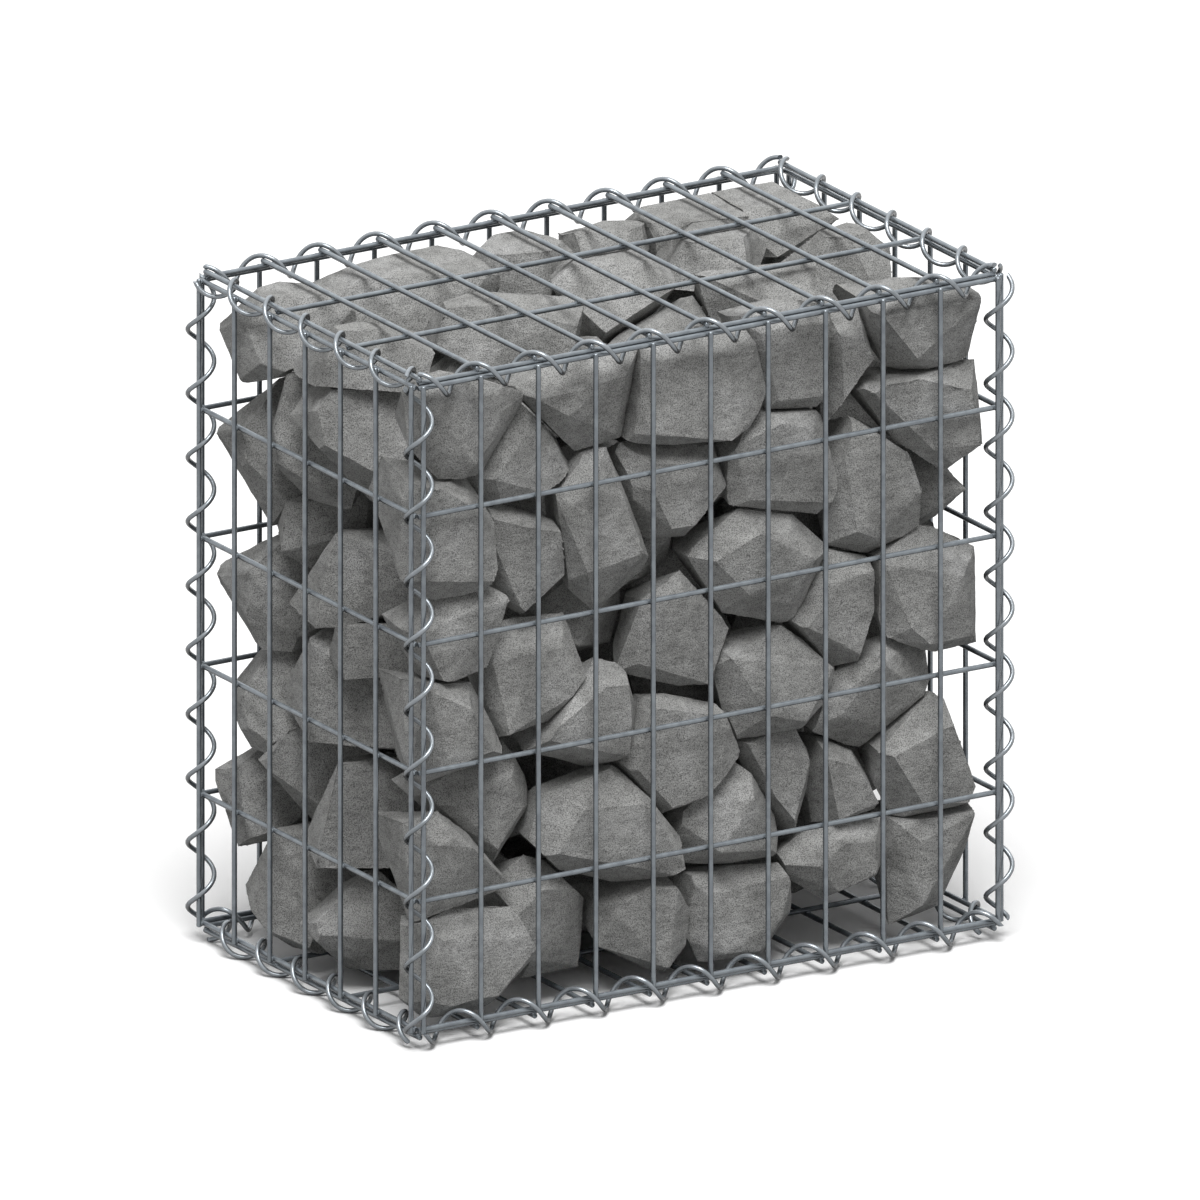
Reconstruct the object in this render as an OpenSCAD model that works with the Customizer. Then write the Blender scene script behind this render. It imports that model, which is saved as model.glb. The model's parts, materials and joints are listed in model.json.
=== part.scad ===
// Stone-filled gabion basket: six welded mesh panels, spiral binders along the edges, a fill of angular rock.
// Frame: +X runs along the wall, +Y to the back, +Z up. The origin is on the floor under the middle of the basket.

/* [Mesh] */
// Spacing of the upright wires, and of the wires across the lid and the base
cell_w = 50; // [46:1:54]
// Spacing of the level wires up the four sides
cell_h = 100; // [94:1:106]
// Cells along the length
cells_long = 10; // [9:1:11]
// Cells from front to back in each end panel
cells_deep = 6; // [6]
// Rows of cells up the basket
rows_high = 5; // [5:1:6]
// Bays between the long wires of the lid and the base
lid_bays = 3; // [3]

/* [Wire] */
// Mesh wire, across its flats
wire_d = 4; // [3:0.5:5]
// Depth that two crossing wires are pressed into one another at a weld
weld_sink = 0.4; // [0.2:0.1:0.8]
// Length of wire that stands past the last crossing
wire_tail = 2.5; // [2.5:0.5:5]

/* [Spiral binders] */
// Outside diameter of a spiral
spiral_d = 24; // [23:0.5:27]
// Wire of a spiral
spiral_wire_d = 3; // [2.5:0.5:3.5]
// Turns in each cell width
turns_per_cell = 1; // [1]
// Straight runs in one turn
spiral_steps = 8; // [8:2:10]
// Sides of the spiral wire
spiral_sides = 4; // [4:1:5]

/* [Fill] */
// Swell of the inner stones past their listed sizes before they are fitted to one another
stone_swell = 1.4; // [1.3:0.01:1.5]
// Swell of the front stones past their outlines before they are fitted
front_swell = 1.16; // [1.1:0.01:1.2]
// Depth that a stone runs back from its widest outline
stone_back = 76; // [70:1:85]
// Gap left between two stones that meet
stone_gap = 0.4; // [0.3:0.1:0.8]

/* [Fit] */
// Clearance between one piece and the piece it bears on
seat_gap = 0.3; // [0.2:0.1:0.5]

/* [Hidden] */
columns = round(cells_long);
long = cell_w * columns;
deep = cell_w * cells_deep;
high = cell_h * rows_high;
lid_pitch = deep / lid_bays;
wire_r = wire_d / 2;
weld_step = wire_d - weld_sink;
// Inner wires of neighbouring panels lie side by side on the diagonal of the edge
inner_off = (wire_d + seat_gap) / sqrt(2);
outer_off = inner_off + weld_step;
inner_tail = inner_off - wire_r - seat_gap;
wire_out = outer_off + wire_r;
wire_in = inner_off - wire_r;

spiral_wire_r = spiral_wire_d / 2;
spiral_r = spiral_d / 2 - spiral_wire_r;
spiral_bore = spiral_r * cos(180 / spiral_steps) - spiral_wire_r;
spiral_pitch = cell_w / turns_per_cell;
turns_long = columns * turns_per_cell;
turns_deep = cells_deep * turns_per_cell;
turns_high = 2 * rows_high;
// Distance from a spiral's axis to the middle of a wire that it bears on
bear = spiral_bore - wire_r - seat_gap;
// Top spirals hang on the lid's cross wires; corner ones lean on the end panels' corner uprights
top_off = outer_off - bear;
edge_y = deep / 2 + inner_off / 2;
edge_x = long / 2 + wire_out + seat_gap + spiral_wire_r - spiral_r;
edge_off = outer_off - sqrt(bear * bear - pow(edge_x - long / 2, 2));
lean = bear / sqrt(2);
corner_x = long / 2 + outer_off - lean;
corner_y = deep / 2 + lean;
// Bottom spirals: front and back ones press on the uprights, end ones on the end panels' lowest level wires
foot_y = deep / 2 + outer_off - bear;
foot_z = -wire_r;
foot_drop = 2 * wire_r;
foot_x = long / 2 + inner_off - sqrt(bear * bear - foot_drop * foot_drop);
floor_z = spiral_d / 2 + foot_drop;

// Space for the stones, inside the mesh and clear of the spirals
fill_x = long / 2 + wire_in - seat_gap;
fill_y = deep / 2 + wire_in - seat_gap;
fill_low = seat_gap - wire_in;
fill_high = high + wire_in - seat_gap;
half_root = sqrt(0.5);
rim = spiral_d / 2 + seat_gap;
corner_cut = (corner_x + corner_y) * half_root - rim;
fill_planes = concat(
  [for (s = [-1, 1]) [[s, 0, 0], fill_x]],
  [for (s = [-1, 1]) [[0, s, 0], fill_y]],
  [[[0, 0, 1], fill_high], [[0, 0, -1], -fill_low]],
  [for (s = [-1, 1]) for (v = [-1, 1]) [half_root * [s, v, 0], corner_cut]],
  [for (s = [-1, 1]) [half_root * [0, s, 1], (edge_y + high + top_off) * half_root - rim]],
  [for (s = [-1, 1]) [half_root * [s, 0, 1], (edge_x + high + edge_off) * half_root - rim]],
  [for (s = [-1, 1]) [half_root * [0, s, -1], (foot_y - foot_z) * half_root - rim]],
  [for (s = [-1, 1]) [half_root * [s, 0, -1], (foot_x + foot_drop) * half_root - rim]]);
fill_scale = [long / 500, deep / 300, high / 500];

// A stone at the front: its outline x, z as seen from the front, and how far behind the mesh it starts
// Any other stone: middle x, y, z above the bottom wires, then width, depth, height
course_1 = [
  [[[-245, 80], [-125, 65], [-130, 45], [-190, 0], [-225, 0], [-245, 15]], 0],
  [[[-175, 75], [-135, 100], [-85, 80], [-90, 15], [-155, 15]], 15],
  [[[-75, 55], [-70, 75], [-20, 70], [5, 30], [-25, 0], [-75, 30]], 4],
  [[[-5, 70], [90, 60], [85, 25], [60, 0], [15, 0], [5, 20]], 8],
  [[[75, 65], [120, 90], [170, 85], [170, 55], [165, 40], [120, 35]], 6],
  [[[175, 85], [240, 85], [240, 50], [215, 10], [180, 5]], 2],
  [-205, 5, 30, 80, 80, 70], [-112, 0, 35, 95, 95, 80], [-15, -5, 38, 95, 90, 80],
  [75, 5, 35, 85, 95, 75], [165, -5, 42, 95, 95, 85], [-205, 72, 50, 80, 95, 90],
  [-125, 95, 35, 90, 90, 75], [-32, 90, 40, 95, 90, 80], [60, 95, 35, 90, 85, 75],
  [140, 90, 40, 80, 95, 80], [210, 80, 35, 70, 90, 75]];
course_2 = [
  [[[-245, 150], [-220, 155], [-195, 135], [-160, 90], [-240, 75]], 0],
  [[[-220, 160], [-200, 190], [-140, 190], [-135, 145], [-165, 105], [-185, 125]], 20],
  [[[-145, 110], [-125, 160], [-80, 170], [-40, 145], [0, 90], [-5, 70], [-65, 80]], 2],
  [[[-20, 125], [55, 150], [75, 100], [75, 75], [45, 70], [5, 80]], 5],
  [[[45, 170], [95, 170], [110, 150], [110, 95], [85, 85]], 16],
  [[[105, 155], [145, 145], [170, 95], [120, 85]], 12],
  [[[150, 145], [205, 175], [220, 165], [245, 100], [235, 90], [185, 85]], 0],
  [-205, 0, 125, 80, 90, 75], [-205, 62, 142, 75, 60, 80], [-125, 10, 115, 85, 90, 80],
  [-35, 0, 112, 90, 95, 75], [55, -10, 115, 90, 95, 80], [135, 5, 125, 80, 90, 85],
  [208, 5, 110, 75, 95, 85], [-205, 115, 105, 80, 60, 76], [-115, 90, 112, 90, 90, 80],
  [-20, 90, 115, 95, 90, 75], [75, 92, 115, 90, 90, 80], [180, 88, 115, 100, 90, 80]];
course_3 = [
  [[[-245, 270], [-195, 255], [-165, 195], [-225, 185], [-245, 195]], 0],
  [[[-165, 205], [-85, 250], [-60, 240], [-45, 205], [-55, 170], [-80, 170]], 2],
  [[[-65, 165], [-50, 220], [25, 195], [45, 155], [20, 135], [-25, 125]], 4],
  [[[25, 240], [75, 250], [125, 215], [125, 195], [95, 170], [40, 175]], 5],
  [[[100, 165], [155, 230], [205, 215], [210, 175], [160, 145]], 4],
  [-205, -22, 256, 70, 60, 44], [-205, 20, 213, 80, 100, 85], [-120, 0, 185, 90, 95, 75],
  [-25, 0, 190, 90, 90, 80], [60, 5, 195, 85, 90, 80], [145, 0, 200, 85, 95, 80],
  [212, 0, 190, 66, 90, 80], [-205, 102, 188, 80, 80, 80], [-120, 90, 190, 90, 90, 80],
  [-30, 92, 190, 90, 90, 80], [60, 88, 190, 90, 90, 75], [140, 90, 190, 80, 90, 80],
  [208, 85, 190, 65, 90, 80]];
course_4 = [
  [[[-240, 300], [-210, 330], [-165, 320], [-180, 265], [-225, 258]], 5],
  [[[-175, 265], [-160, 290], [-105, 285], [-85, 235], [-85, 220], [-165, 210]], 10],
  [[[-40, 290], [-10, 305], [30, 260], [15, 215], [-55, 240]], 3],
  [[[0, 320], [45, 345], [85, 335], [115, 305], [90, 255], [30, 275]], 2],
  [[[85, 250], [120, 305], [155, 290], [165, 255], [145, 205], [125, 215]], 8],
  [[[155, 295], [195, 310], [245, 280], [245, 215], [195, 215], [170, 230]], 0],
  [-68, -84, 276, 66, 60, 56], [-205, 8, 300, 80, 85, 80], [-120, -10, 262, 90, 95, 80],
  [-45, -20, 275, 85, 90, 80], [50, 0, 272, 90, 95, 80], [140, 0, 280, 85, 95, 80],
  [210, -5, 270, 70, 95, 80], [-205, 100, 265, 80, 90, 85], [-118, 90, 268, 90, 90, 78],
  [-28, 90, 265, 90, 90, 78], [60, 92, 265, 85, 85, 80], [140, 88, 268, 80, 90, 80],
  [208, 88, 265, 66, 85, 80]];
course_5 = [
  [[[-235, 425], [-195, 410], [-170, 370], [-175, 335], [-215, 320], [-245, 345], [-245, 400]], 0],
  [[[-185, 385], [-155, 380], [-110, 360], [-105, 320], [-150, 300]], 14],
  [[[-100, 415], [-75, 410], [-35, 325], [-85, 300], [-105, 320], [-115, 385]], 3],
  [[[-60, 385], [-50, 410], [20, 405], [35, 370], [0, 335], [-30, 340]], 6],
  [[[125, 400], [180, 385], [200, 340], [195, 305], [150, 295], [125, 310]], 6],
  [-26, -80, 322, 62, 56, 52], [-195, 60, 322, 80, 80, 75], [-120, -5, 340, 88, 90, 78],
  [-35, 5, 345, 86, 90, 80], [52, -5, 350, 90, 95, 80], [140, 5, 355, 88, 90, 78],
  [210, 0, 345, 68, 95, 78], [-205, 108, 372, 80, 75, 95], [-118, 92, 345, 90, 85, 78],
  [-30, 88, 342, 90, 90, 80], [60, 88, 342, 90, 90, 78], [140, 92, 345, 80, 85, 80],
  [208, 88, 340, 66, 90, 78]];
course_6 = [
  [[[-140, 475], [-100, 400], [-125, 385], [-170, 385], [-185, 410]], 12],
  [[[25, 405], [70, 420], [110, 415], [130, 340], [115, 335], [40, 355]], 2],
  [[[150, 425], [170, 440], [245, 425], [245, 370], [220, 355], [195, 360]], 0],
  [205, -85, 325, 60, 75, 60], [-205, 0, 425, 80, 80, 80], [-122, 5, 415, 85, 90, 76],
  [-38, 0, 418, 85, 90, 74], [45, 0, 425, 85, 90, 76], [130, -5, 428, 88, 90, 78],
  [208, 5, 420, 72, 90, 78], [-205, 60, 400, 80, 70, 85], [-115, 88, 418, 88, 90, 74],
  [-28, 90, 418, 88, 85, 76], [60, 88, 418, 88, 90, 76], [140, 90, 420, 80, 85, 76],
  [206, 88, 415, 66, 85, 78]];
course_7 = [
  [[[-150, 470], [-190, 415], [-212, 412], [-245, 450], [-245, 490], [-225, 500]], 0],
  [[[-145, 470], [-110, 485], [-45, 490], [-60, 420], [-105, 415], [-125, 450]], 5],
  [[[-45, 485], [55, 480], [65, 425], [25, 410], [-45, 415], [-55, 425]], 0],
  [[[50, 490], [90, 500], [120, 485], [120, 415], [70, 425]], 8],
  [[[120, 485], [155, 480], [165, 450], [145, 420], [125, 400]], 14],
  [[[155, 485], [200, 500], [245, 485], [235, 425], [200, 430], [175, 440]], 0],
  [-202, 8, 470, 80, 76, 56], [-85, 5, 475, 120, 90, 60], [33, 42, 478, 85, 75, 60],
  [118, -27, 478, 90, 80, 60], [128, 52, 485, 75, 65, 50], [213, 10, 472, 70, 90, 64],
  [-212, 102, 466, 75, 80, 70], [-105, 98, 475, 105, 85, 64], [-10, 104, 476, 85, 75, 64],
  [66, 106, 472, 75, 70, 60], [142, 105, 482, 80, 70, 60], [212, 104, 488, 76, 80, 60]];
courses = [course_1, course_2, course_3, course_4, course_5, course_6, course_7];
stones = [for (course = courses) each course];
first_of = [for (c = 0, n = 0; c < len(courses); n = n + len(courses[c]), c = c + 1) n];
// How far behind the mesh the widest outline of a front stone lies, past its start
outline_in = 24;
// Half depth of the heart of the fill
heart = 35;

// A steady share between 0 and 1 for stone n, so that no two stones are alike
function chance(n, k) = let (v = 437 * sin(97 * n + 61 * k + 13)) v - floor(v);
function mean(list) = [for (v = list) 1] * list / len(list);
// Corners of a stone: a ring at its widest, and smaller, uneven rings before and behind it with fewer corners
function corners(ring, near, mid, far, near_skip, far_skip, n) = let (c = mean(ring)) concat(
  [for (i = [0 : len(ring) - 1]) let (p = ring[i])
    [p.x, mid + 14 * (chance(n, i) - 0.5), p[1]]],
  [for (i = [0 : near_skip : len(ring) - 1]) let (p = c + (0.45 + 0.4 * chance(n, i + 10)) * (ring[i] - c))
    [p.x, near + (mid - near) * 0.7 * pow(chance(n, i + 20), 2), p[1]]],
  [for (i = [0 : far_skip : len(ring) - 1]) let (p = c + (0.4 + 0.45 * chance(n, i + 30)) * (ring[i] - c))
    [p.x, far - (far - mid) * 0.4 * chance(n, i + 40), p[1]]]);
// Stones in the heart of the fill are plainer blocks than those near the front or back
function inner_ring(s, n) = let (count = abs(s[1]) < heart ? 4 : 5) [for (i = [0 : count - 1])
  let (a = 360 / count * i + 60 * chance(n, 50) + 30 * (chance(n, i + 51) - 0.5), r = 0.87 + 0.3 * chance(n, i + 60))
  [s[0] + stone_swell * r * s[3] / 2 * cos(a), s[2] + stone_swell * r * s[5] / 2 * sin(a)]];
function front_ring(ring) = let (c = mean(ring)) [for (p = ring) c + front_swell * (p - c)];
function listed(s, n) = is_list(s[0])
  ? let (near = s[1] - 150) corners(front_ring(s[0]), near, near + outline_in, near + outline_in + stone_back, 1, 3, n)
  : let (half = stone_swell * s[4] / 2) corners(inner_ring(s, n), s[1] - half, s[1] - 5, s[1] + half, 3, 2, n);
clouds = [for (n = [0 : len(stones) - 1])
  [for (p = listed(stones[n], n)) [p.x * fill_scale.x, p.y * fill_scale.y, p.z * fill_scale.z]]];
middles = [for (cloud = clouds) mean(cloud)];
// Reach of stone n from its middle in the direction u
function reach(n, u) = max([for (p = clouds[n]) (p - middles[n]) * u]);

module mesh_colour() {
  color([0.45, 0.48, 0.5])
    children();
}

module spiral_colour() {
  color([0.55, 0.58, 0.6])
    children();
}

// An eight-sided wire, flats towards the axes
module wire(size) {
  rotate([0, 0, 22.5])
    cylinder(h = size, d = wire_d / cos(22.5), $fn = 8);
}

module wire_x(half, y, z) {
  translate([-half, y, z])
    rotate([0, 90, 0])
      wire(2 * half);
}

module wire_y(x, half, z) {
  translate([x, half, z])
    rotate([90, 0, 0])
      wire(2 * half);
}

module wire_z(x, y, low, top) {
  translate([x, y, low])
    wire(top - low);
}

// Front or back panel: upright wires outside, level wires inside
module long_panel(side) {
  for (k = [0 : columns])
    wire_z(k * cell_w - long / 2, side * (deep / 2 + outer_off), -wire_tail, high + wire_tail);
  for (j = [0 : rows_high])
    wire_x(long / 2 + wire_tail, side * (deep / 2 + inner_off), j * cell_h);
}

module end_panel(side) {
  for (k = [0 : cells_deep])
    wire_z(side * (long / 2 + outer_off), k * cell_w - deep / 2, -wire_tail, high + wire_tail);
  for (j = [0 : rows_high])
    wire_y(side * (long / 2 + inner_off), deep / 2 + inner_tail, j * cell_h);
}

// Lid or base: wires across outside, long wires inside
module flat_panel(level, side) {
  for (k = [0 : columns])
    wire_y(k * cell_w - long / 2, deep / 2 + wire_tail, level + side * outer_off);
  for (j = [0 : lid_bays])
    wire_x(long / 2 + inner_tail, j * lid_pitch - deep / 2, level + side * inner_off);
}

// A right-handed spiral up Z; phase is the plan angle of its first end, trim the runs left off its start
module spiral(turns, pitch, phase, trim) {
  last = turns * spiral_steps - trim;
  slope = atan(pitch / (2 * PI * spiral_r));
  rings = [for (i = [0 : last]) let (a = phase + (i + trim) * 360 / spiral_steps)
    [for (s = [0 : spiral_sides - 1])
      let (b = s * 360 / spiral_sides, out = spiral_wire_r * cos(b), up = spiral_wire_r * sin(b))
      [(spiral_r + out) * cos(a) + up * sin(slope) * sin(a),
        (spiral_r + out) * sin(a) - up * sin(slope) * cos(a),
        (i + trim) * pitch / spiral_steps + up * cos(slope)]]];
  caps = [[for (s = [spiral_sides - 1 : -1 : 0]) s], [for (s = [0 : spiral_sides - 1]) last * spiral_sides + s]];
  sides = [for (i = [0 : last - 1]) for (s = [0 : spiral_sides - 1])
    let (a = i * spiral_sides + s, b = i * spiral_sides + (s + 1) % spiral_sides)
      each [[a, b, a + spiral_sides], [b, b + spiral_sides, a + spiral_sides]]];
  polyhedron(points = [for (ring = rings) each ring], faces = concat(caps, sides), convexity = 10);
}

module spiral_x(y, z, phase) {
  translate([-long / 2, y, z])
    rotate([0, 90, 0])
      rotate([0, 0, 90])
        spiral(turns_long, spiral_pitch, phase, 0);
}

module spiral_y(x, z, phase, trim) {
  translate([x, -deep / 2, z])
    rotate([-90, 0, 0])
      spiral(turns_deep, spiral_pitch, phase, trim);
}

module spiral_z(x, y, phase) {
  translate([x, y, 0])
    spiral(turns_high, high / turns_high, phase, 0);
}

// Everything beyond a plane that lies at distance d from the middle, square to u
module far_side(u, d) {
  span = 3 * cell_h;
  rotate([0, acos(u.z), atan2(u.y, u.x)])
    translate([-span / 2, -span / 2, d])
      cube(span);
}

// A stone, cut back where it would run into the mesh, a spiral or the stones near it; it stays convex
module stone(n) {
  c = middles[n];
  near = [for (m = [0 : len(stones) - 1])
    let (v = middles[m] - c, far = norm(v))
      if (m != n && far < 2 * cell_h)
        let (u = v / far, mine = reach(n, u), other = reach(m, -u))
          if (mine + other > far - stone_gap)
            [u, far * mine / (mine + other) - stone_gap / 2]];
  walls = [for (w = fill_planes) if (c * w[0] + reach(n, w[0]) > w[1]) [w[0], w[1] - c * w[0]]];
  translate(c)
    hull()
      difference() {
        hull()
          polyhedron(points = [for (p = clouds[n]) p - c], faces = [[for (i = [0 : len(clouds[n]) - 1]) i]]);
        for (p = concat(near, walls))
          far_side(p[0], p[1]);
      }
}

module stones_course(k) {
  color([0.57, 0.57, 0.56])
    for (n = [0 : len(courses[k]) - 1])
      stone(first_of[k] + n);
}

// The basket is lifted so that it stands on its lowest spirals
module lifted() {
  translate([0, 0, floor_z])
    children();
}

lifted() mesh_colour() long_panel(-1);  // front_panel
lifted() mesh_colour() long_panel(1);  // back_panel
lifted() mesh_colour() end_panel(-1);  // left_panel
lifted() mesh_colour() end_panel(1);  // right_panel
lifted() mesh_colour() flat_panel(high, 1);  // lid_panel
lifted() mesh_colour() flat_panel(0, -1);  // base_panel
lifted() spiral_colour() spiral_x(-edge_y, high + top_off, 90);  // spiral_top_front
lifted() spiral_colour() spiral_x(edge_y, high + top_off, 90);  // spiral_top_back
lifted() spiral_colour() spiral_y(-edge_x, high + edge_off, 180, 1);  // spiral_top_left
lifted() spiral_colour() spiral_y(edge_x, high + edge_off, -55, 0);  // spiral_top_right
lifted() spiral_colour() spiral_x(-foot_y, foot_z, 180);  // spiral_bottom_front
lifted() spiral_colour() spiral_x(foot_y, foot_z, 0);  // spiral_bottom_back
lifted() spiral_colour() spiral_y(-foot_x, -foot_drop, 90, 1);  // spiral_bottom_left
lifted() spiral_colour() spiral_y(foot_x, -foot_drop, 90, 1);  // spiral_bottom_right
lifted() spiral_colour() spiral_z(-corner_x, -corner_y, 150);  // spiral_corner_front_left
lifted() spiral_colour() spiral_z(corner_x, -corner_y, 15);  // spiral_corner_front_right
lifted() spiral_colour() spiral_z(-corner_x, corner_y, 65);  // spiral_corner_back_left
lifted() spiral_colour() spiral_z(corner_x, corner_y, 30);  // spiral_corner_back_right
lifted() stones_course(0);  // stones_course_1
lifted() stones_course(1);  // stones_course_2
lifted() stones_course(2);  // stones_course_3
lifted() stones_course(3);  // stones_course_4
lifted() stones_course(4);  // stones_course_5
lifted() stones_course(5);  // stones_course_6
lifted() stones_course(6);  // stones_course_7
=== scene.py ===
import json
import math

import bpy
from mathutils import Matrix, Vector

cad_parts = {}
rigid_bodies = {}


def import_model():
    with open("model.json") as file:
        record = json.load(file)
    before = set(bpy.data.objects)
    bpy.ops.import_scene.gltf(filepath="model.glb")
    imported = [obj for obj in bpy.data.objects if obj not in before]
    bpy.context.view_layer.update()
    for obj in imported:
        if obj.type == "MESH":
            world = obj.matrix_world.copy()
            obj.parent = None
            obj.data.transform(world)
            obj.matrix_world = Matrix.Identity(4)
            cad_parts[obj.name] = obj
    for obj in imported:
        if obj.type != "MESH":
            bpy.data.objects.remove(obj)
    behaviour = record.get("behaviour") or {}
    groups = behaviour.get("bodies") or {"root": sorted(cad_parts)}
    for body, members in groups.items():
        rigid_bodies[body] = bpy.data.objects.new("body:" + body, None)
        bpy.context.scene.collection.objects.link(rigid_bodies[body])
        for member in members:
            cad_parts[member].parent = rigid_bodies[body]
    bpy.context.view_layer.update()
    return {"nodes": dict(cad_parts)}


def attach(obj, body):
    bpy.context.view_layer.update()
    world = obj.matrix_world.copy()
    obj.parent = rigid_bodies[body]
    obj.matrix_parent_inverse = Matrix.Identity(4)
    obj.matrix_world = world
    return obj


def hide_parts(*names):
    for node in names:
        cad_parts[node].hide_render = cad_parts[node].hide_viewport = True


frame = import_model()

mm = 0.001


# The basket's own sizes, in mm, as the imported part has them.
basket = dict(
    cellWide=50.0, cellHigh=100.0, cellsLong=10, cellsDeep=6, rowsHigh=5, lidBays=3,
    wire=4.0, weldSink=0.4, tail=2.5, seatGap=0.3,
    spiralOuter=24.0, spiralWire=3.0, spiralRuns=8,     # a packed coil has eight straight runs in a turn
)
lengthHalf = basket["cellWide"] * basket["cellsLong"] / 2
depthHalf = basket["cellWide"] * basket["cellsDeep"] / 2
height = basket["cellHigh"] * basket["rowsHigh"]
innerOff = (basket["wire"] + basket["seatGap"]) / math.sqrt(2)
outerOff = innerOff + basket["wire"] - basket["weldSink"]
innerTail = innerOff - basket["wire"] / 2 - basket["seatGap"]
spiralRadius = (basket["spiralOuter"] - basket["spiralWire"]) / 2
floorRise = basket["spiralOuter"] / 2 + basket["wire"]  # bottom level wires above the floor


def clearSelection():
    for item in bpy.context.view_layer.objects:
        item.select_set(False)


def makeActive(item):
    clearSelection()
    item.select_set(True)
    bpy.context.view_layer.objects.active = item


def joinAll(pieces, name):
    clearSelection()
    for piece in pieces:
        piece.select_set(True)
    bpy.context.view_layer.objects.active = pieces[0]
    bpy.ops.object.join()
    whole = bpy.context.view_layer.objects.active
    whole.name = name
    whole.data.name = name
    return whole


def settle(item):
    # the place, turn and size go into the mesh, so the object sits at the origin
    makeActive(item)
    bpy.ops.object.transform_apply(location=True, rotation=True, scale=True)


def smoothBelow(item, degrees):
    makeActive(item)
    bpy.ops.object.shade_smooth_by_angle(angle=math.radians(degrees))


def applyModifier(item, kind, **settings):
    makeActive(item)
    modifier = item.modifiers.new(kind.lower(), kind)
    for key, value in settings.items():
        setattr(modifier, key, value)
    bpy.ops.object.modifier_apply(modifier=modifier.name)


def copyOf(item, name):
    twin = item.copy()
    twin.data = item.data.copy()
    twin.name = name
    bpy.context.scene.collection.objects.link(twin)
    return twin


def hexColour(text):
    # sRGB hex to the linear colour that a shader takes
    parts = [int(text[i:i + 2], 16) / 255 for i in (1, 3, 5)]
    linear = [p / 12.92 if p <= 0.04045 else ((p + 0.055) / 1.055) ** 2.4 for p in parts]
    return (*linear, 1.0)


def addNode(tree, kind, settings=None, links=None):
    # adds a node, sets its options, sockets and colour stops, and links its inputs from (node, output) pairs
    node = tree.nodes.new(kind)
    for key, value in (settings or {}).items():
        if key == "stops":
            marks = node.color_ramp.elements
            while len(marks) < len(value):
                marks.new(0.5)
            for mark, (place, colour) in zip(marks, value):
                mark.position = place
                mark.color = hexColour(colour)
        elif key in node.inputs:
            node.inputs[key].default_value = value
        else:
            setattr(node, key, value)
    for key, (source, output) in (links or {}).items():
        tree.links.new(source.outputs[output], node.inputs[key])
    return node


# A Mix node takes its two colours at sockets 6 and 7 and gives the result at output 2.
multiply = {"data_type": "RGBA", "blend_type": "MULTIPLY", "Factor": 1.0}
lighten = {"data_type": "RGBA", "blend_type": "LIGHTEN", "Factor": 1.0}


def newMaterial(name):
    material = bpy.data.materials.new(name)
    material.use_nodes = True
    return material, material.node_tree, material.node_tree.nodes["Principled BSDF"]


def noisePattern(size, detail, roughness):
    # settings for a noise whose largest blots are about this many mm across
    return {"Scale": 1 / (size * mm), "Detail": detail, "Roughness": roughness}


rockLook = dict(
    clouds=noisePattern(45.0, 5.0, 0.6), bodyTones=[(0.32, "#a2a2a0"), (0.5, "#b3b3b1"), (0.68, "#c3c3c2")],
    # real grain is finer than this, which is as coarse as it needs to show
    grain=noisePattern(0.75, 2.0, 0.6), grainTones=[(0.38, "#a3a3a3"), (0.54, "#ffffff")],
    strokes=noisePattern(11.0, 6.0, 0.65), strokeTones=[(0.36, "#e2e2e2"), (0.55, "#ffffff")],
    strokeRun={"Rotation": (0.5, 0.6, 0.2), "Scale": (1.0, 1.0, 2.0)},
    pits=noisePattern(1.7, 5.0, 0.7), bumpHeight=1.1, bumpStrength=1.0,
    roughness=0.95, specular=0.2,
)


def brokenBasalt():
    # quarried basalt, broken and unwashed: dull, finely grained, with faint strokes where it split
    look = rockLook
    material, tree, shader = newMaterial("brokenBasalt")
    place = addNode(tree, "ShaderNodeTexCoord")
    clouds = addNode(tree, "ShaderNodeTexNoise", look["clouds"], {"Vector": (place, "Object")})
    body = addNode(tree, "ShaderNodeValToRGB", {"stops": look["bodyTones"]}, {"Fac": (clouds, "Fac")})
    grain = addNode(tree, "ShaderNodeTexNoise", look["grain"], {"Vector": (place, "Object")})
    speck = addNode(tree, "ShaderNodeValToRGB", {"stops": look["grainTones"]}, {"Fac": (grain, "Fac")})
    along = addNode(tree, "ShaderNodeMapping", look["strokeRun"], {"Vector": (place, "Object")})
    strokes = addNode(tree, "ShaderNodeTexNoise", look["strokes"], {"Vector": (along, "Vector")})
    streak = addNode(tree, "ShaderNodeValToRGB", {"stops": look["strokeTones"]}, {"Fac": (strokes, "Fac")})
    grained = addNode(tree, "ShaderNodeMix", multiply, {6: (body, "Color"), 7: (speck, "Color")})
    colour = addNode(tree, "ShaderNodeMix", multiply, {6: (grained, 2), 7: (streak, "Color")})
    pits = addNode(tree, "ShaderNodeTexNoise", look["pits"], {"Vector": (place, "Object")})
    relief = addNode(tree, "ShaderNodeMath", {"operation": "ADD"}, {0: (pits, "Fac"), 1: (strokes, "Fac")})
    bump = addNode(tree, "ShaderNodeBump",
                   {"Strength": look["bumpStrength"], "Distance": look["bumpHeight"] * mm},
                   {"Height": (relief, "Value")})
    tree.links.new(colour.outputs[2], shader.inputs["Base Color"])
    tree.links.new(bump.outputs["Normal"], shader.inputs["Normal"])
    shader.inputs["Roughness"].default_value = look["roughness"]
    shader.inputs["Specular IOR Level"].default_value = look["specular"]
    return material


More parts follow.
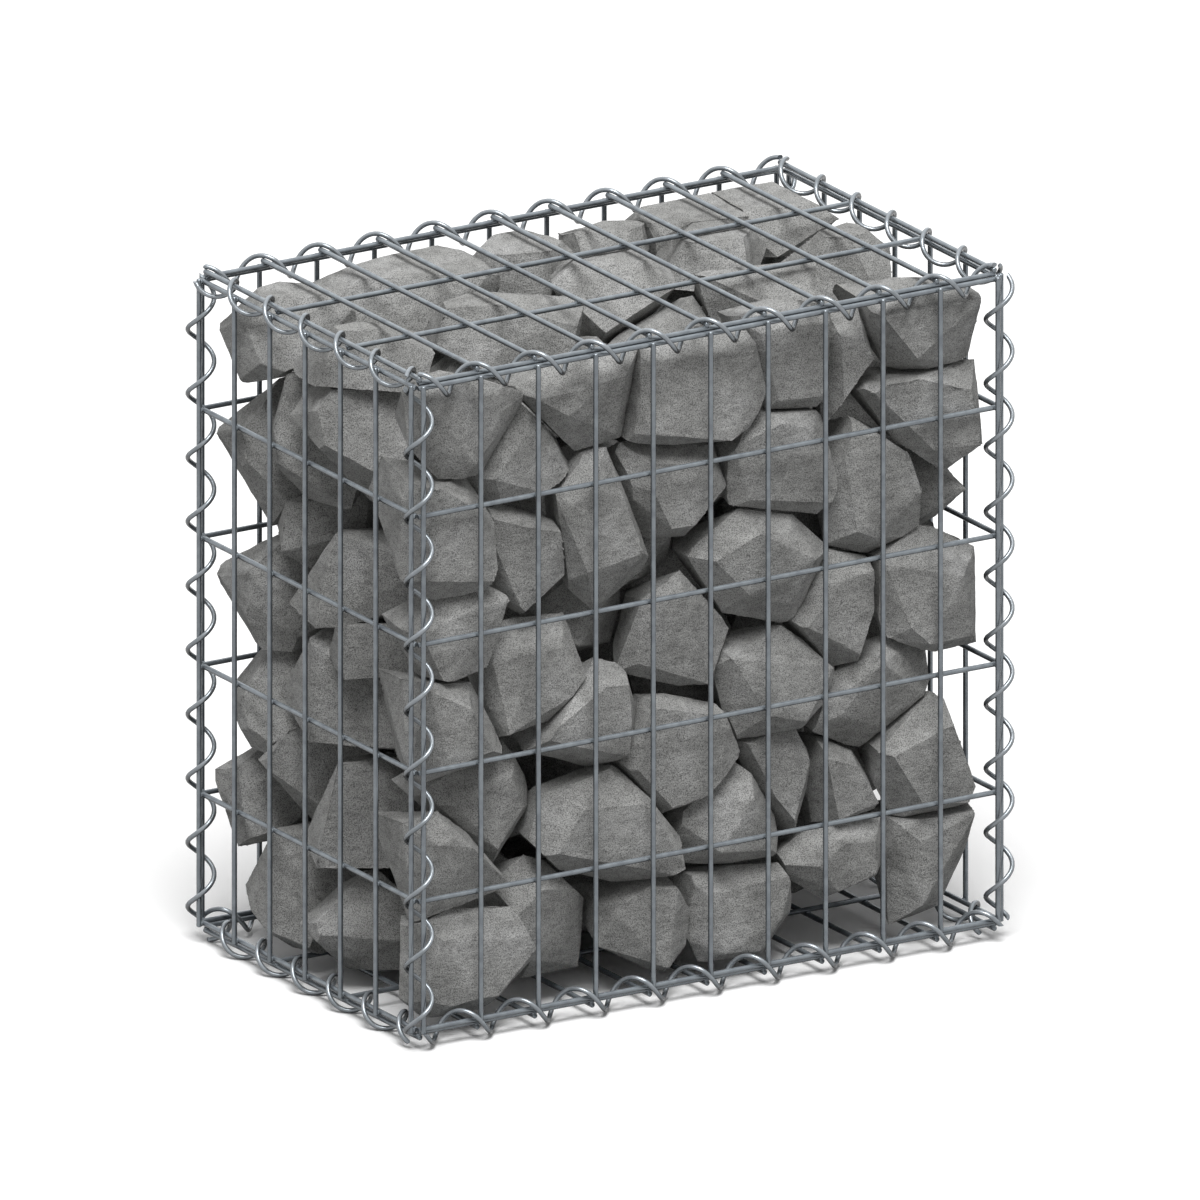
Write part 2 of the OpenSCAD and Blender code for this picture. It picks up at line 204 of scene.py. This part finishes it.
wireLook = dict(
    mottle=noisePattern(9.0, 4.0, 0.6), mottleDark=0.35, mottlePale=0.65,
    paintedEdgeShadeTones=[(0.42, "#ffffff"), (0.7, "#6c6c6c")],      # painted shade: from facing the eye to turned away from it
    paintedEdgeShadeTopMask=[(0.68, "#000000"), (0.86, "#ffffff")],        # where white, the painted edge shade above is left out, on surfaces that face up
    # painted light and shade: from facing down, darker, to facing up, paler
    paintedUpDownShadeTones=[(0.1, "#9c9c9c"), (0.5, "#c2c2c2"), (0.8, "#e0e0e0"), (0.97, "#ffffff")],
)


def galvanisedWire(name, dark, pale, roughness, metallic):
    # hot-dip galvanised steel wire, drawn: a grey metal with a soft sheen and faint mottling. Its colour has
    # light
    # and shade painted in: painted light on top, and painted shade below and where it turns away from the
    # eye.
    look = wireLook
    material, tree, shader = newMaterial(name)
    place = addNode(tree, "ShaderNodeTexCoord")
    mottle = addNode(tree, "ShaderNodeTexNoise", look["mottle"], {"Vector": (place, "Object")})
    tones = [(look["mottleDark"], dark), (look["mottlePale"], pale)]
    tone = addNode(tree, "ShaderNodeValToRGB", {"stops": tones}, {"Fac": (mottle, "Fac")})
    # painted shade: the colour goes darker where the wire turns away from the eye
    view = addNode(tree, "ShaderNodeLayerWeight", {"Blend": 0.5})
    paintedEdgeShade = addNode(tree, "ShaderNodeValToRGB", {"stops": look["paintedEdgeShadeTones"]}, {"Fac": (view, "Facing")})
    # painted light and shade from the surface's slope: paler where it faces up, darker where it faces down
    surface = addNode(tree, "ShaderNodeNewGeometry")
    normal = addNode(tree, "ShaderNodeSeparateXYZ", links={"Vector": (surface, "Normal")})
    upward = addNode(tree, "ShaderNodeMapRange", {"From Min": -1.0, "From Max": 1.0},
                     {"Value": (normal, "Z")})
    top = addNode(tree, "ShaderNodeValToRGB", {"stops": look["paintedEdgeShadeTopMask"]}, {"Fac": (upward, "Result")})
    paintedUpDownShade = addNode(tree, "ShaderNodeValToRGB", {"stops": look["paintedUpDownShadeTones"]}, {"Fac": (upward, "Result")})
    # the painted edge shade, left off where the wire faces up
    sides = addNode(tree, "ShaderNodeMix", lighten, {6: (paintedEdgeShade, "Color"), 7: (top, "Color")})
    shade = addNode(tree, "ShaderNodeMix", multiply, {6: (sides, 2), 7: (paintedUpDownShade, "Color")})
    # the mottled tone times the painted light and shade
    colour = addNode(tree, "ShaderNodeMix", multiply, {6: (tone, "Color"), 7: (shade, 2)})
    tree.links.new(colour.outputs[2], shader.inputs["Base Color"])
    shader.inputs["Metallic"].default_value = metallic
    shader.inputs["Roughness"].default_value = roughness
    return material


basalt = brokenBasalt()
meshSteel = galvanisedWire("galvanisedMeshWire", dark="#8a9198", pale="#a1a9af",
                           roughness=0.24, metallic=0.5)
spiralSteel = galvanisedWire("galvanisedSpiralWire", dark="#979ea3", pale="#aeb4ba",
                             roughness=0.26, metallic=0.55)


def dress(piece, material, node):
    piece.data.materials.clear()
    piece.data.materials.append(material)
    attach(piece, "root")
    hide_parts(node)


# Wires and coils are made upright and laid along an axis. A coil's start is counted from the back and up
# along X, from the right and down along Y, and from the right and back along Z.
layAlong = {
    "x": Matrix.Rotation(math.pi / 2, 4, "Y") @ Matrix.Rotation(math.pi / 2, 4, "Z"),
    "y": Matrix.Rotation(-math.pi / 2, 4, "X"),
    "z": Matrix.Identity(4),
}


def lay(item, axis, point):
    item.data.transform(Matrix.Translation([v * mm for v in point]) @ layAlong[axis])


panelWire = dict(
    sides=12, endBevel=0.5, bevelAngle=60, smoothAngle=40,
    weldSize=1.18,      # across, in wires
    weldFlat=0.8,       # through both wires, as a share of that
    weldSegments=8, weldRings=6,
)


def straightWire(length):
    # one wire along Z with its middle at the origin and its cut ends just broken
    bpy.ops.mesh.primitive_cylinder_add(vertices=panelWire["sides"], radius=basket["wire"] / 2 * mm,
                                        depth=length * mm, location=(0, 0, 0))
    wire = bpy.context.view_layer.objects.active
    applyModifier(wire, "BEVEL", width=panelWire["endBevel"] * mm, segments=1, limit_method="ANGLE",
                  angle_limit=math.radians(panelWire["bevelAngle"]))
    smoothBelow(wire, panelWire["smoothAngle"])
    return wire


def weldNugget(squash):
    # the squeezed metal where two wires are welded
    radius = basket["wire"] / 2 * panelWire["weldSize"] * mm
    bpy.ops.mesh.primitive_uv_sphere_add(segments=panelWire["weldSegments"], radius=radius,
                                         ring_count=panelWire["weldRings"], location=(0, 0, 0))
    nugget = bpy.context.view_layer.objects.active
    makeActive(nugget)
    bpy.ops.object.shade_smooth()
    nugget.data.transform(Matrix.Diagonal((*squash, 1)))
    return nugget


def copiesAt(master, axis, points):
    twins = []
    for point in points:
        twin = copyOf(master, "wire")
        lay(twin, axis, point)
        twins.append(twin)
    bpy.data.objects.remove(master)
    return twins


def weldedPanel(name, node, barsOuter, barsInner, welds, squash):
    # barsOuter and barsInner: (axis, length, list of middles)
    pieces = []
    for axis, length, middles in (barsOuter, barsInner):
        pieces += copiesAt(straightWire(length), axis, middles)
    pieces += copiesAt(weldNugget(squash), "z", welds)
    panel = joinAll(pieces, name)
    dress(panel, meshSteel, node)


def steps(count, pitch, start):
    return [start + i * pitch for i in range(count + 1)]


alongX = steps(basket["cellsLong"], basket["cellWide"], -lengthHalf)
alongY = steps(basket["cellsDeep"], basket["cellWide"], -depthHalf)
lidY = steps(basket["lidBays"], 2 * depthHalf / basket["lidBays"], -depthHalf)
upZ = steps(basket["rowsHigh"], basket["cellHigh"], floorRise)
midZ = floorRise + height / 2
weldOff = (innerOff + outerOff) / 2

for name, node, side in (("frontMesh", "front_panel", -1), ("backMesh", "back_panel", 1)):
    outerY, innerY, weldY = [side * (depthHalf + off) for off in (outerOff, innerOff, weldOff)]
    weldedPanel(name, node,
                ("z", height + 2 * basket["tail"], [(x, outerY, midZ) for x in alongX]),
                ("x", 2 * (lengthHalf + basket["tail"]), [(0, innerY, z) for z in upZ]),
                [(x, weldY, z) for x in alongX for z in upZ], (1, panelWire["weldFlat"], 1))

for name, node, side in (("leftMesh", "left_panel", -1), ("rightMesh", "right_panel", 1)):
    outerX, innerX, weldX = [side * (lengthHalf + off) for off in (outerOff, innerOff, weldOff)]
    weldedPanel(name, node,
                ("z", height + 2 * basket["tail"], [(outerX, y, midZ) for y in alongY]),
                ("y", 2 * (depthHalf + innerTail), [(innerX, 0, z) for z in upZ]),
                [(weldX, y, z) for y in alongY for z in upZ], (panelWire["weldFlat"], 1, 1))

for name, node, level, side in (("lidMesh", "lid_panel", floorRise + height, 1),
                                ("baseMesh", "base_panel", floorRise, -1)):
    outerZ, innerZ, weldZ = [level + side * off for off in (outerOff, innerOff, weldOff)]
    weldedPanel(name, node,
                ("y", 2 * (depthHalf + basket["tail"]), [(x, 0, outerZ) for x in alongX]),
                ("x", 2 * (lengthHalf + innerTail), [(0, y, innerZ) for y in lidY]),
                [(x, y, weldZ) for x in alongX for y in lidY], (1, 1, panelWire["weldFlat"]))
print("stage: mesh panels")


# The wire is as thick as the photograph shows it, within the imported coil, whose turns have eight corners.
spiralLook = dict(wire=3.7, inset=0.3, sides=10, stepsPerTurn=28, smoothAngle=50)

# Where the coils lie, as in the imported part; bear is from a coil's axis to the wire that it bears on.
bore = spiralRadius * math.cos(math.pi / basket["spiralRuns"]) - basket["spiralWire"] / 2
bear = bore - basket["wire"] / 2 - basket["seatGap"]
# the lid's coils hang on its cross wires
topZ = floorRise + height + outerOff - bear
topY = depthHalf + innerOff / 2
wireOut = outerOff + basket["wire"] / 2
topX = lengthHalf + wireOut + basket["seatGap"] + basket["spiralWire"] / 2 - spiralRadius
topEndZ = floorRise + height + outerOff - math.sqrt(bear ** 2 - (topX - lengthHalf) ** 2)
# corner coils lean on the end panels' corner uprights
lean = bear / math.sqrt(2)
cornerX = lengthHalf + outerOff - lean
cornerY = depthHalf + lean
cornerTurns = 2 * basket["rowsHigh"]
# bottom coils press on the uprights, and at the ends on the lowest level wires
footY = depthHalf + outerOff - bear
footZ = floorRise - basket["wire"] / 2
footX = lengthHalf + innerOff - math.sqrt(bear ** 2 - basket["wire"] ** 2)
footEndZ = floorRise - basket["wire"]


def coil(turns, pitch, phase, trimTurns):
    # a ring at the coil's radius, swept by Screw; it is taller than wide, so the sloping wire comes out round
    half = spiralLook["wire"] / 2
    radius = basket["spiralOuter"] / 2 - spiralLook["inset"] - half
    slope = math.atan(pitch / (2 * math.pi * radius))
    bpy.ops.mesh.primitive_circle_add(vertices=spiralLook["sides"], radius=half * mm,
                                      location=(radius * mm, 0, 0), rotation=(math.pi / 2, 0, 0))
    ring = bpy.context.view_layer.objects.active
    ring.scale = (1, 1 / math.cos(slope), 1)
    settle(ring)
    swept = turns - trimTurns
    count = int(spiralLook["stepsPerTurn"] * swept)
    applyModifier(ring, "SCREW", axis="Z", angle=2 * math.pi * swept, screw_offset=pitch * swept * mm,
                  steps=count, render_steps=count, use_smooth_shade=True, use_merge_vertices=False)
    makeActive(ring)
    bpy.ops.object.mode_set(mode="EDIT")
    bpy.ops.mesh.select_all(action="DESELECT")
    bpy.ops.mesh.select_non_manifold()
    bpy.ops.mesh.edge_face_add()
    bpy.ops.mesh.select_all(action="SELECT")
    bpy.ops.mesh.normals_make_consistent(inside=False)
    bpy.ops.object.mode_set(mode="OBJECT")
    start = Matrix.Rotation(phase + 2 * math.pi * trimTurns, 4, "Z")
    ring.data.transform(Matrix.Translation((0, 0, pitch * trimTurns * mm)) @ start)
    smoothBelow(ring, spiralLook["smoothAngle"])
    return ring


def laced(name, node, axis, point, turns, pitch, phase, trimRuns=0):
    # phase: where the first turn starts, in degrees; trimRuns: runs left off the start
    piece = coil(turns, pitch, math.radians(phase), trimRuns / basket["spiralRuns"])
    lay(piece, axis, point)
    piece.name = name
    piece.data.name = name
    dress(piece, spiralSteel, node)


for name, node, y, z, phase in (
        ("topFrontSpiral", "spiral_top_front", -topY, topZ, 90),
        ("topBackSpiral", "spiral_top_back", topY, topZ, 90),
        ("bottomFrontSpiral", "spiral_bottom_front", -footY, footZ, 180),
        ("bottomBackSpiral", "spiral_bottom_back", footY, footZ, 0)):
    laced(name, node, "x", (-lengthHalf, y, z), basket["cellsLong"], basket["cellWide"], phase)
for name, node, x, z, phase, trimRuns in (
        ("topLeftSpiral", "spiral_top_left", -topX, topEndZ, 180, 1),
        ("topRightSpiral", "spiral_top_right", topX, topEndZ, -55, 0),
        ("bottomLeftSpiral", "spiral_bottom_left", -footX, footEndZ, 90, 1),
        ("bottomRightSpiral", "spiral_bottom_right", footX, footEndZ, 90, 1)):
    laced(name, node, "y", (x, -depthHalf, z), basket["cellsDeep"], basket["cellWide"], phase, trimRuns)
for name, node, x, y, phase in (
        ("frontLeftSpiral", "spiral_corner_front_left", -cornerX, -cornerY, 150),
        ("frontRightSpiral", "spiral_corner_front_right", cornerX, -cornerY, 15),
        ("backLeftSpiral", "spiral_corner_back_left", -cornerX, cornerY, 65),
        ("backRightSpiral", "spiral_corner_back_right", cornerX, cornerY, 30)):
    laced(name, node, "z", (x, y, floorRise), cornerTurns, height / cornerTurns, phase)
print("stage: spiral binders")


stoneWork = dict(
    courses=7,
    mergeGap=0.02, flatAngle=1,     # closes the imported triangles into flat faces
    edgeBevel=0.9, bevelAngle=12,   # broken edges are never sharp
    gridDepth=6, gridScale=0.95,    # halvings of the remesh's grid, and the stone's share of it
    dentSize=30.0, dentDepth=1.3,
    chipSize=13.0, chipDepth=0.7,
    gritSize=3.5, gritDepth=0.25,
    keep=0.26,                      # share of the triangles kept after thinning
    smoothAngle=13,
)


def noiseTexture(name, kind, size, **settings):
    texture = bpy.data.textures.new(name, kind)
    texture.noise_scale = size * mm
    for key, value in settings.items():
        setattr(texture, key, value)
    return texture


stoneWear = (
    (noiseTexture("stoneDents", "CLOUDS", stoneWork["dentSize"], noise_depth=1), stoneWork["dentDepth"]),
    (noiseTexture("stoneChips", "VORONOI", stoneWork["chipSize"], distance_metric="DISTANCE"),
     stoneWork["chipDepth"]),
    (noiseTexture("stoneGrit", "CLOUDS", stoneWork["gritSize"], noise_depth=2), stoneWork["gritDepth"]),
)


def roughStone(stone):
    # breaks the edges a little, then wears the faces inwards, so a stone stays inside its solid
    applyModifier(stone, "BEVEL", width=stoneWork["edgeBevel"] * mm, segments=1, limit_method="ANGLE",
                  angle_limit=math.radians(stoneWork["bevelAngle"]))
    applyModifier(stone, "REMESH", mode="SHARP", octree_depth=stoneWork["gridDepth"],
                  scale=stoneWork["gridScale"], sharpness=1.0, use_remove_disconnected=False)
    for texture, depth in stoneWear:
        applyModifier(stone, "DISPLACE", texture=texture, texture_coords="GLOBAL", direction="NORMAL",
                      mid_level=1.0, strength=depth * mm)
    applyModifier(stone, "DECIMATE", decimate_type="COLLAPSE", ratio=stoneWork["keep"])


def stoneCourse(number):
    node = "stones_course_%d" % number
    course = copyOf(frame["nodes"][node], "courseWork")
    course.parent = None
    makeActive(course)
    bpy.ops.object.mode_set(mode="EDIT")
    bpy.ops.mesh.select_all(action="SELECT")
    bpy.ops.mesh.remove_doubles(threshold=stoneWork["mergeGap"] * mm)
    bpy.ops.mesh.dissolve_limited(angle_limit=math.radians(stoneWork["flatAngle"]))
    bpy.ops.mesh.separate(type="LOOSE")
    bpy.ops.object.mode_set(mode="OBJECT")
    stones = list(bpy.context.selected_objects)
    for stone in stones:
        roughStone(stone)
    whole = joinAll(stones, "stoneCourse%d" % number)
    smoothBelow(whole, stoneWork["smoothAngle"])
    dress(whole, basalt, node)
    print("stage: course", number, len(stones), "stones", len(whole.data.polygons), "faces")


for number in range(1, stoneWork["courses"] + 1):
    stoneCourse(number)


studio = dict(
    azimuth=31.6, elevation=18.02, pixelsPerMm=1.349, imageWidth=1200, cameraFar=4.0,
    floorSize=30.0, floorSeen="#ffffff", floorBounce="#858585",
    keyStrength=3.1, keyTurn=(25, 0, -30), keyAngle=34, worldStrength=0.43, worldSeen=1.0,
)


def camera():
    # the photograph is a straight parallel view, from the front left and a little above
    turn, rise = math.radians(studio["azimuth"]), math.radians(studio["elevation"])
    back = Vector((-math.sin(turn) * math.cos(rise), -math.cos(turn) * math.cos(rise), math.sin(rise)))
    target = Vector((0, 0, midZ * mm))
    bpy.ops.object.camera_add(location=target + back * studio["cameraFar"],
                              rotation=(math.pi / 2 - rise, 0, -turn))
    eye = bpy.context.view_layer.objects.active
    eye.data.type = "ORTHO"
    eye.data.ortho_scale = studio["imageWidth"] / studio["pixelsPerMm"] * mm
    bpy.context.scene.camera = eye


def seenStraight(tree):
    # one for the camera and for what metal or glass would show, nought for the light that is thrown about
    rays = addNode(tree, "ShaderNodeLightPath")
    mirrored = addNode(tree, "ShaderNodeMath", {"operation": "MAXIMUM"},
                       {0: (rays, "Is Glossy Ray"), 1: (rays, "Is Transmission Ray")})
    return addNode(tree, "ShaderNodeMath", {"operation": "MAXIMUM"},
                   {0: (rays, "Is Camera Ray"), 1: (mirrored, "Value")})


def floorMaterial():
    # matt paper: white as it is seen and in reflections, greyer in the light that it throws back
    material, tree, shader = newMaterial("mattPaper")
    tone = addNode(tree, "ShaderNodeMix", {"data_type": "RGBA"}, {"Factor": (seenStraight(tree), "Value")})
    tone.inputs[6].default_value = hexColour(studio["floorBounce"])
    tone.inputs[7].default_value = hexColour(studio["floorSeen"])
    tree.links.new(tone.outputs[2], shader.inputs["Base Color"])
    shader.inputs["Roughness"].default_value = 1.0
    shader.inputs["Specular IOR Level"].default_value = 0.0
    return material


def lights():
    bpy.ops.object.light_add(type="SUN", rotation=[math.radians(a) for a in studio["keyTurn"]])
    key = bpy.context.view_layer.objects.active
    key.data.energy = studio["keyStrength"]
    key.data.angle = math.radians(studio["keyAngle"])
    world = bpy.data.worlds.new("studioWorld")
    world.use_nodes = True
    bpy.context.scene.world = world
    tree = world.node_tree
    white = hexColour("#ffffff")
    light = tree.nodes["Background"]
    light.inputs["Color"].default_value = white
    light.inputs["Strength"].default_value = studio["worldStrength"]
    seen = addNode(tree, "ShaderNodeBackground", {"Color": white, "Strength": studio["worldSeen"]})
    straight = seenStraight(tree)
    both = addNode(tree, "ShaderNodeMixShader", links={
        "Fac": (straight, "Value"), 1: (light, "Background"), 2: (seen, "Background")})
    tree.links.new(both.outputs["Shader"], tree.nodes["World Output"].inputs["Surface"])


clearSelection()
bpy.ops.mesh.primitive_plane_add(size=studio["floorSize"], location=(0, 0, 0))
floor = bpy.context.view_layer.objects.active
floor.name = "studioFloor"
floor.data.materials.append(floorMaterial())
camera()
lights()
bpy.context.scene.view_settings.view_transform = "Standard"
print("stage: studio")
